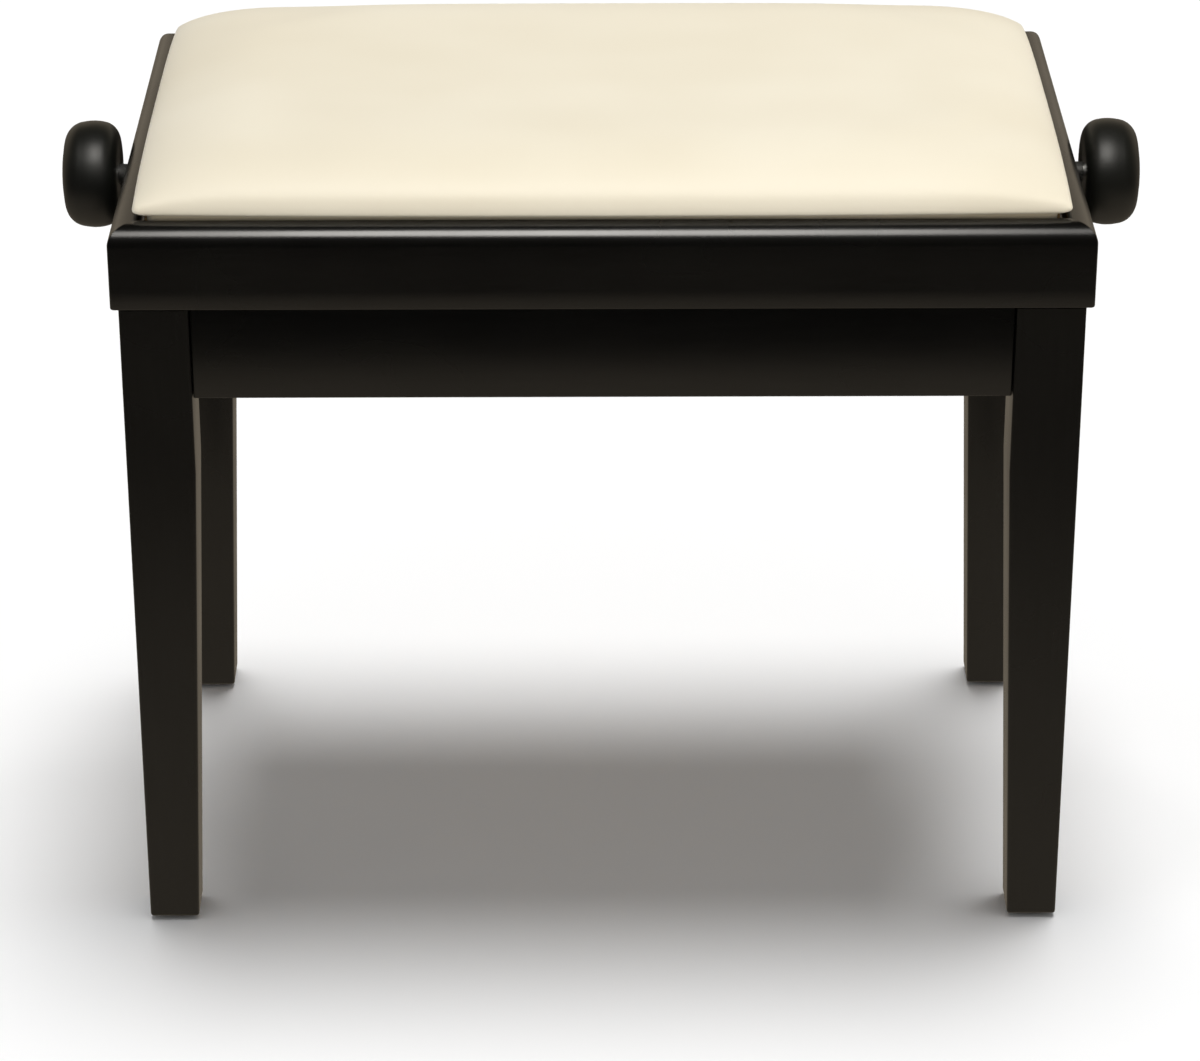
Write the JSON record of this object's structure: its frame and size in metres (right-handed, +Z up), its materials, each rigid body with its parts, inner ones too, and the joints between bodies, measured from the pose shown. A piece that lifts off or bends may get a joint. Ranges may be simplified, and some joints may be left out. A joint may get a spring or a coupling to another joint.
{
  "type": "piano bench",
  "caption": "Height-adjustable piano bench: black wooden frame on tapered legs, crowned ivory cushion, and a knob at each end of a spindle that works a scissor lift.",
  "frame": {"origin": "on the floor, under the middle of the bench", "axes": "+X along the seat to the right, +Y from the front to the back, +Z up"},
  "size_m": [0.647, 0.342, 0.4885],
  "materials": {
    "black_lacquered_wood": "satin",
    "leatherette": "satin",
    "plywood": "matte",
    "bare_wood": "matte",
    "felt": "matte",
    "zinc_plated_steel": "satin",
    "bright_steel": "polished",
    "black_knob": "satin",
    "bronze": "satin",
    "glide_plastic": "matte"
  },
  "bodies": {
    "base": {"leg_front_left": "black_lacquered_wood", "leg_front_right": "black_lacquered_wood", "leg_back_left": "black_lacquered_wood", "leg_back_right": "black_lacquered_wood", "apron_front": "black_lacquered_wood", "apron_back": "black_lacquered_wood", "apron_left": "black_lacquered_wood", "apron_right": "black_lacquered_wood", "corner_plate_front_left": "zinc_plated_steel", "corner_plate_front_right": "zinc_plated_steel", "corner_plate_back_left": "zinc_plated_steel", "corner_plate_back_right": "zinc_plated_steel", "leg_bolt_front_left": "zinc_plated_steel", "leg_bolt_front_right": "zinc_plated_steel", "leg_bolt_back_left": "zinc_plated_steel", "leg_bolt_back_right": "zinc_plated_steel", "foot_glide_front_left": "glide_plastic", "foot_glide_front_right": "glide_plastic", "foot_glide_back_left": "glide_plastic", "foot_glide_back_right": "glide_plastic", "felt_strip_front": "felt", "felt_strip_back": "felt", "felt_strip_left": "felt", "felt_strip_right": "felt", "base_batten_front": "bare_wood", "base_batten_back": "bare_wood", "base_channel_front": "zinc_plated_steel", "base_channel_back": "zinc_plated_steel", "base_pivot_rod": "bright_steel"},
    "seat": {"seat_rail_front": "black_lacquered_wood", "seat_rail_back": "black_lacquered_wood", "seat_rail_left": "black_lacquered_wood", "seat_rail_right": "black_lacquered_wood", "corner_block_front_left": "bare_wood", "corner_block_front_right": "bare_wood", "corner_block_back_left": "bare_wood", "corner_block_back_right": "bare_wood", "seat_batten_front": "bare_wood", "seat_batten_back": "bare_wood", "seat_deck": "plywood", "seat_cushion": "leatherette", "seat_channel_front": "zinc_plated_steel", "seat_channel_back": "zinc_plated_steel", "seat_pivot_pin_front": "bright_steel", "seat_pivot_pin_back": "bright_steel", "spindle_bush_left": "bronze", "spindle_bush_right": "bronze"},
    "spindle": {"spindle_rod": "bright_steel", "knob_left": "black_knob", "knob_right": "black_knob", "spindle_collar_left": "zinc_plated_steel", "spindle_collar_right": "zinc_plated_steel"},
    "crosshead": {"drive_crosshead": "zinc_plated_steel"},
    "inner_arms": {"inner_arm_front": "zinc_plated_steel", "inner_arm_back": "zinc_plated_steel", "centre_rod": "bright_steel"},
    "outer_arms": {"outer_arm_front": "zinc_plated_steel", "outer_arm_back": "zinc_plated_steel", "slide_rod": "bright_steel"}
  },
  "joints": [
    {"name": "seat_lift", "type": "slide", "parent": "base", "child": "seat", "axis": [0, 0, 1], "range_m": [0, 0.1]},
    {"name": "spindle_turn", "type": "hinge", "parent": "seat", "child": "spindle", "pos_m": [0, 0, 0.423], "axis": [1, 0, 0], "range_deg": [0, 3600]},
    {"name": "crosshead_travel", "type": "slide", "parent": "seat", "child": "crosshead", "axis": [-1, 0, 0], "range_m": [0, 0.02275]},
    {"name": "inner_arms_swing", "type": "hinge", "parent": "base", "child": "inner_arms", "pos_m": [-0.1991, 0, 0.385], "axis": [0, -1, 0], "range_deg": [0, 14.73]},
    {"name": "outer_arms_swing", "type": "hinge", "parent": "seat", "child": "outer_arms", "pos_m": [-0.1991, 0, 0.423], "axis": [0, 1, 0], "range_deg": [0, 14.73]}
  ],
  "couplings": [
    {"joint": "spindle_turn", "follows": "seat_lift", "rad_per_m": 628.32},
    {"joint": "crosshead_travel", "follows": "seat_lift", "ratio": 0.2275},
    {"joint": "inner_arms_swing", "follows": "seat_lift", "rad_per_m": 2.5709},
    {"joint": "outer_arms_swing", "follows": "seat_lift", "rad_per_m": 2.5709}
  ]
}
